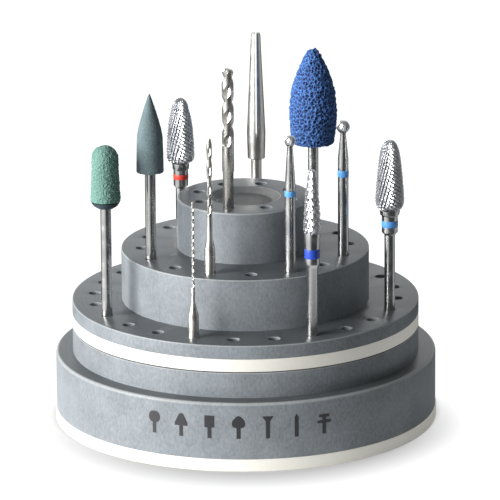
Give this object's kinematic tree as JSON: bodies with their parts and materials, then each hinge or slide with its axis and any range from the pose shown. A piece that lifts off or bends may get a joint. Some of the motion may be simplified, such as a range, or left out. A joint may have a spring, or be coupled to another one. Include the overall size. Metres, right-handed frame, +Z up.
{
  "type": "dental bur stand",
  "caption": "Round three-tier stand with a turning carousel, whose rings of sockets hold rotary dental instruments on shanks.",
  "frame": {"origin": "centre of the underside of the foot plate", "axes": "+Z up along the carousel's axis, -Y towards the front, where the fine drill and the slender cutter stand"},
  "size_m": [0.0844, 0.0844, 0.0815],
  "materials": {
    "grey_plastic": "turned satin grey PVC",
    "white_plastic": "turned white, slightly rough",
    "washer_plastic": "plain white slide plastic",
    "bush_brass": "turned",
    "fastener_steel": "plain bright",
    "shank_steel": "ground and polished",
    "mandrel_steel": "turned, satin",
    "drill_steel": "ground, warm grey",
    "carbide": "cross-cut teeth, bright edges",
    "green_rubber": "grainy abrasive rubber",
    "grey_rubber": "matte abrasive rubber",
    "blue_porous_rubber": "coarse porous abrasive rubber",
    "glue_cap": "dark, satin",
    "red_band": "enamel colour code",
    "blue_band": "enamel colour code",
    "dark_blue_band": "enamel colour code"
  },
  "bodies": {
    "base": {"foot_plate": "white_plastic", "base_ring": "grey_plastic", "drum": "grey_plastic", "bearing_bush": "bush_brass", "thrust_washer": "washer_plastic", "foot_screw_1": "fastener_steel", "foot_screw_2": "fastener_steel", "foot_screw_3": "fastener_steel"},
    "carousel": {"slide_ring": "white_plastic", "tier_lower": "grey_plastic", "tier_middle": "grey_plastic", "tier_upper": "grey_plastic", "pivot_bolt": "fastener_steel", "head_washer": "washer_plastic", "lower_dowel_1": "fastener_steel", "lower_dowel_2": "fastener_steel", "upper_dowel_1": "fastener_steel", "upper_dowel_2": "fastener_steel"},
    "bullet_polisher_tool": {"bullet_polisher_shank": "shank_steel", "bullet_polisher_head": "green_rubber", "bullet_polisher_cap": "glue_cap"},
    "fine_drill_tool": {"fine_drill": "drill_steel"},
    "slender_cutter_tool": {"slender_cutter_shank": "shank_steel", "slender_cutter_head": "carbide", "slender_cutter_band": "dark_blue_band"},
    "egg_cutter_tool": {"egg_cutter_shank": "shank_steel", "egg_cutter_head": "carbide", "egg_cutter_band": "blue_band"},
    "slotted_mandrel_tool": {"slotted_mandrel": "mandrel_steel"},
    "tapered_cutter_tool": {"tapered_cutter_shank": "shank_steel", "tapered_cutter_head": "carbide", "tapered_cutter_band": "red_band"},
    "pointed_polisher_tool": {"pointed_polisher_shank": "shank_steel", "pointed_polisher_head": "grey_rubber"},
    "medium_drill_tool": {"medium_drill": "drill_steel"},
    "small_round_bur_tool": {"small_round_bur_shank": "shank_steel", "small_round_bur_head": "carbide", "small_round_bur_band": "blue_band"},
    "large_round_bur_tool": {"large_round_bur_shank": "shank_steel", "large_round_bur_head": "carbide", "large_round_bur_band": "blue_band"},
    "torpedo_polisher_tool": {"torpedo_polisher_shank": "shank_steel", "torpedo_polisher_head": "blue_porous_rubber"},
    "large_drill_tool": {"large_drill": "drill_steel"}
  },
  "joints": [
    {"name": "carousel_spin", "type": "hinge", "parent": "base", "child": "carousel", "pos_m": [0, 0, 0.0213], "axis": [0, 0, 1], "continuous": true},
    {"name": "bullet_polisher_lift", "type": "slide", "parent": "carousel", "child": "bullet_polisher_tool", "axis": [0, 0, 1], "range_m": [0, 0.03025]},
    {"name": "fine_drill_lift", "type": "slide", "parent": "carousel", "child": "fine_drill_tool", "axis": [0, 0, 1], "range_m": [0, 0.03025]},
    {"name": "slender_cutter_lift", "type": "slide", "parent": "carousel", "child": "slender_cutter_tool", "axis": [0, 0, 1], "range_m": [0, 0.03025]},
    {"name": "egg_cutter_lift", "type": "slide", "parent": "carousel", "child": "egg_cutter_tool", "axis": [0, 0, 1], "range_m": [0, 0.03025]},
    {"name": "slotted_mandrel_lift", "type": "slide", "parent": "carousel", "child": "slotted_mandrel_tool", "axis": [0, 0, 1], "range_m": [0, 0.03025]},
    {"name": "tapered_cutter_lift", "type": "slide", "parent": "carousel", "child": "tapered_cutter_tool", "axis": [0, 0, 1], "range_m": [0, 0.03025]},
    {"name": "pointed_polisher_lift", "type": "slide", "parent": "carousel", "child": "pointed_polisher_tool", "axis": [0, 0, 1], "range_m": [0, 0.0273]},
    {"name": "medium_drill_lift", "type": "slide", "parent": "carousel", "child": "medium_drill_tool", "axis": [0, 0, 1], "range_m": [0, 0.0273]},
    {"name": "small_round_bur_lift", "type": "slide", "parent": "carousel", "child": "small_round_bur_tool", "axis": [0, 0, 1], "range_m": [0, 0.0273]},
    {"name": "large_round_bur_lift", "type": "slide", "parent": "carousel", "child": "large_round_bur_tool", "axis": [0, 0, 1], "range_m": [0, 0.0273]},
    {"name": "torpedo_polisher_lift", "type": "slide", "parent": "carousel", "child": "torpedo_polisher_tool", "axis": [0, 0, 1], "range_m": [0, 0.0273]},
    {"name": "large_drill_lift", "type": "slide", "parent": "carousel", "child": "large_drill_tool", "axis": [0, 0, 1], "range_m": [0, 0.0149]}
  ]
}
